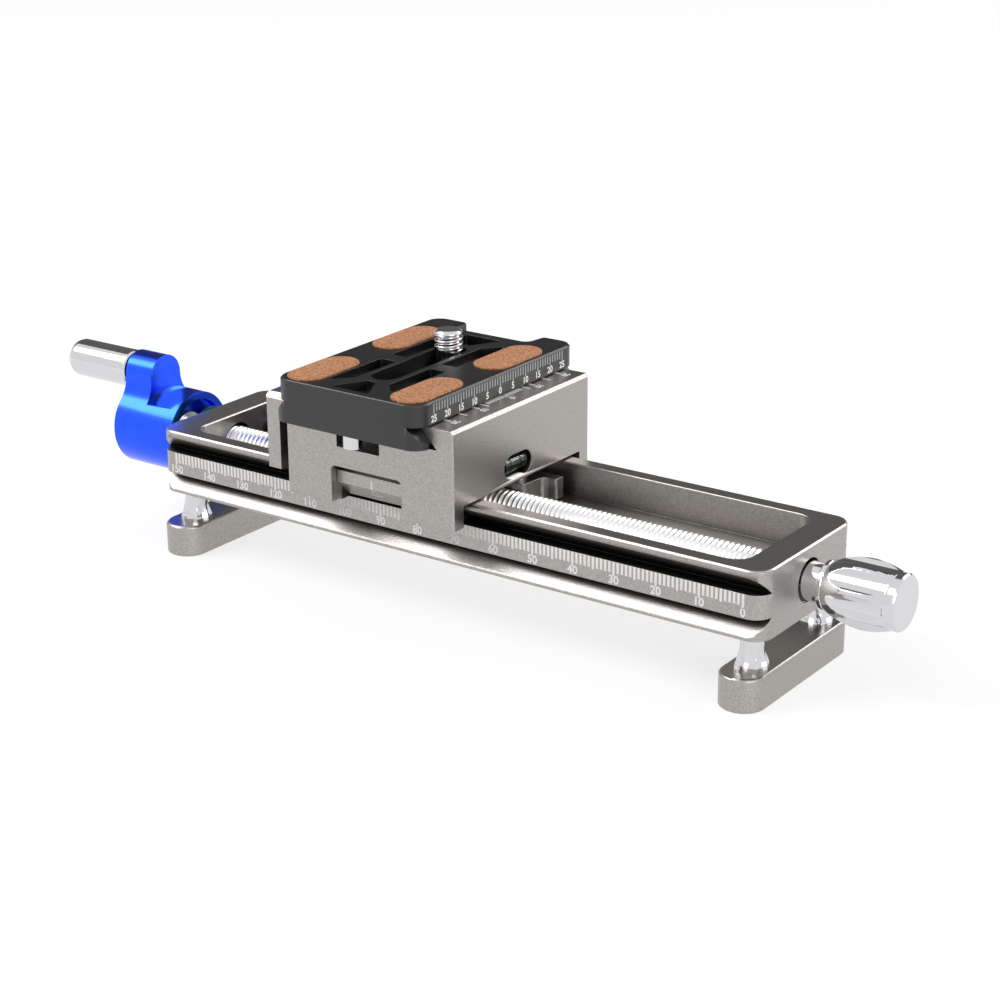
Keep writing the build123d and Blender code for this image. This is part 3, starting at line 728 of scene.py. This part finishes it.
# ---------------------------------------------------------------------------
# Level: bubble and its two reading lines
# ---------------------------------------------------------------------------
def make_level_marks():
    low, high = box_mm("level_liquid")
    centre = (low + high) / 2
    radius = (high.z - low.z) / 2
    bubble = bmesh.new()
    middle = Matrix.Translation(centre + Vector((0.45, 0, radius - 0.75)))
    stretch = Matrix.Diagonal((0.75, 1.5, 0.62, 1))
    bmesh.ops.create_icosphere(bubble, subdivisions=4, radius=1.0, matrix=middle @ stretch)
    for vertex in bubble.verts:
        vertex.co *= MM
    mesh = bpy.data.meshes.new("bubble")
    bubble.to_mesh(mesh)
    bubble.free()
    piece = join_meshes("level_bubble", [mesh], BUBBLE)
    shade(piece, 80)
    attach(piece, "carriage")
    rings = []
    half_line, inner, outer = 0.12, radius + 0.42, radius + 0.46
    for offset in (-1.75, 1.75):
        ring = lathe([
            (offset - half_line, inner),
            (offset - half_line, outer),
            (offset + half_line, outer),
            (offset + half_line, inner),
        ], 48)
        place_mesh(ring, centre, Y, Z)
        rings.append(ring)
    piece = join_meshes("level_reading_lines", rings, DARK)
    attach(piece, "carriage")


make_level_marks()

for body, body_nodes in frame["record"]["behaviour"]["bodies"].items():
    for node in body_nodes:
        if node not in OWN_PIECES:
            smooth_copy(node, body)

# ---------------------------------------------------------------------------
# Camera: position, heading, pitch and roll worked out from the scale's marks
# ---------------------------------------------------------------------------
CAMERA_PLACE = (201.33 * MM, -378.86 * MM, 194.12 * MM)
HEADING, PITCH, ROLL = math.radians(35.767), math.radians(20.081), math.radians(-0.423)
FOCAL_PX = 2280.4
PHOTO_PX = 1000

camera_data = bpy.data.cameras.new("camera")
camera_data.sensor_width = 36.0
camera_data.lens = 36.0 * FOCAL_PX / PHOTO_PX
camera_data.clip_start = 0.01
camera = bpy.data.objects.new("camera", camera_data)
turn = (
    Matrix.Rotation(HEADING, 4, "Z")
    @ Matrix.Rotation(math.pi / 2 - PITCH, 4, "X")
    @ Matrix.Rotation(ROLL, 4, "Z")
)
camera.matrix_world = Matrix.Translation(CAMERA_PLACE) @ turn
bpy.context.scene.collection.objects.link(camera)
bpy.context.scene.camera = camera
bpy.context.scene.view_settings.view_transform = "Standard"

# ---------------------------------------------------------------------------
# Studio: soft lamps, a white surround and one dark card
# ---------------------------------------------------------------------------
MIDDLE = Vector((-0.075, 0, 0.03))


def softbox(name, offset, width, height, radiance):
    """A rectangular soft light aimed at the object; radiance 1 shows as white in a mirror."""
    lamp = bpy.data.lights.new(name, "AREA")
    lamp.shape = "RECTANGLE"
    lamp.size = width
    lamp.size_y = height
    lamp.energy = radiance * math.pi * width * height
    holder = bpy.data.objects.new(name, lamp)
    holder.rotation_euler = (-Vector(offset)).to_track_quat("-Z", "Y").to_euler()
    holder.location = MIDDLE + Vector(offset)
    bpy.context.scene.collection.objects.link(holder)


softbox("left_overhead", (-0.77, -0.62, 0.97), 0.9, 0.75, 5.5)
softbox("back_right", (0.66, 1.12, 0.66), 0.7, 0.7, 4.0)
softbox("right_low", (1.12, -0.55, 0.30), 0.9, 0.5, 4.0)


def white_to_eye(tree):
    """1 for what the camera sees directly, in metal or through glass, 0 for light that falls on the part."""
    rays = add(tree, "ShaderNodeLightPath")
    seen = math_node(tree, "MAXIMUM", rays.outputs["Is Camera Ray"], rays.outputs["Is Transmission Ray"])
    return math_node(tree, "MAXIMUM", seen, rays.outputs["Is Glossy Ray"])


# the world: white to the eye, in metal and through glass, and a softer fill for what it sheds on the part
FILL = 0.55
world = bpy.data.worlds.new("studio")
bpy.context.scene.world = world
world.use_nodes = True
sky = world.node_tree
sky.nodes.clear()
level = math_node(sky, "MAXIMUM", white_to_eye(sky), FILL)
glow = add(sky, "ShaderNodeBackground", Color=(1, 1, 1, 1), Strength=level)
add(sky, "ShaderNodeOutputWorld", i0=glow.outputs[0])


def sheet_object(name, corners, material):
    mesh = bpy.data.meshes.new(name)
    mesh.from_pydata(corners, [], [tuple(range(len(corners)))])
    mesh.materials.append(material)
    sheet = bpy.data.objects.new(name, mesh)
    bpy.context.scene.collection.objects.link(sheet)
    return sheet


def paper_floor():
    """White paper that keeps a faint shadow under the part."""
    material = bpy.data.materials.new("white_paper_floor")
    material.use_nodes = True
    tree = material.node_tree
    tree.nodes.clear()
    matt = add(tree, "ShaderNodeBsdfDiffuse", Color=(0.28, 0.28, 0.28, 1))
    strength = math_node(tree, "MULTIPLY", white_to_eye(tree), 0.74)
    lift = add(tree, "ShaderNodeEmission", Color=(1, 1, 1, 1), Strength=strength)
    both = add(tree, "ShaderNodeAddShader", i0=matt.outputs[0], i1=lift.outputs[0])
    add(tree, "ShaderNodeOutputMaterial", i0=both.outputs[0])
    return material


FLOOR = 6.0
floor = sheet_object(
    "floor", [(-FLOOR, -FLOOR, 0), (FLOOR, -FLOOR, 0), (FLOOR, FLOOR, 0), (-FLOOR, FLOOR, 0)], paper_floor()
)


def dark_card():
    """Grey card of a plain level, whatever light falls on it."""
    material = bpy.data.materials.new("dark_grey_card")
    material.use_nodes = True
    tree = material.node_tree
    tree.nodes.clear()
    level = add(tree, "ShaderNodeEmission", Color=(0.14, 0.14, 0.14, 1))
    add(tree, "ShaderNodeOutputMaterial", i0=level.outputs[0])
    return material


# A card that stands on the floor behind the part, past the top edge of the main picture: level faces reflect
# it and go darker than upright ones. The camera flag keeps it out of views from other sides.
CARD_AWAY, CARD_HALF_WIDTH, CARD_TOP = 1.5, 1.5, 2.4
away = Vector((-0.585, 0.811, 0.0)).normalized()
across = Vector((away.y, -away.x, 0.0)) * CARD_HALF_WIDTH
foot = Vector((MIDDLE.x, MIDDLE.y, 0)) + away * CARD_AWAY
rise = Z * CARD_TOP
card = sheet_object(
    "card_behind", [foot - across, foot + across, foot + across + rise, foot - across + rise], dark_card()
)
card.visible_camera = False
card.visible_shadow = False
card.visible_diffuse = False
